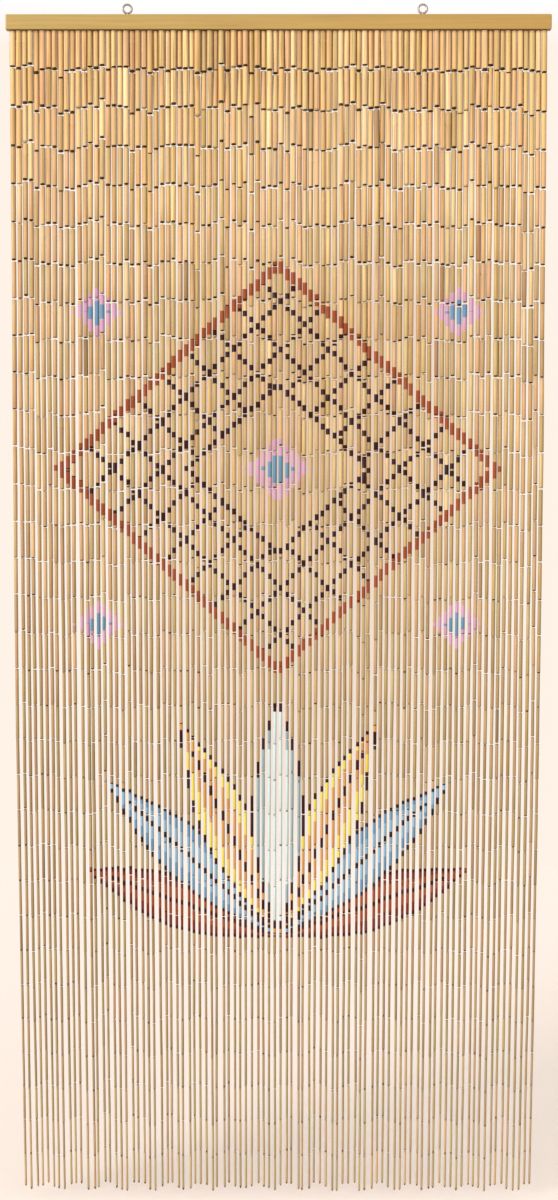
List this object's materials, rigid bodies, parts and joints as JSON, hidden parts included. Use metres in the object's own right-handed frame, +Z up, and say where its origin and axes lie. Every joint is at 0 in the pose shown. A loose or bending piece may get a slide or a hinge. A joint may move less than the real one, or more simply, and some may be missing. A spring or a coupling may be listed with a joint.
{
  "type": "bamboo bead curtain",
  "caption": "Doorway curtain: strands of bamboo beads, thick at the top and thin at the tips, hang side by side under a wooden bar that hangs from metal eyes in its top edge.",
  "frame": {"origin": "on the line through the centres of the two screw eyes, above the middle of the bar, in the plane of the strands", "axes": "+Z up, the strands hang along -Z; X runs along the bar, +X to the right seen from the front; the painted front faces -Y and the plain back faces +Y"},
  "size_m": [0.9, 0.016, 2.0185],
  "materials": {
    "light_wood": "smooth clear-lacquered light wood with fine straight grain",
    "bamboo": "satin natural bamboo in golden, salmon and greyish tints, with a painted pattern on the front",
    "steel_wire": "dull plated steel wire"
  },
  "bodies": {
    "root": {"header_bar": "light_wood", "eye_left": "steel_wire", "eye_right": "steel_wire", "bead_strands": "bamboo"}
  },
  "joints": []
}
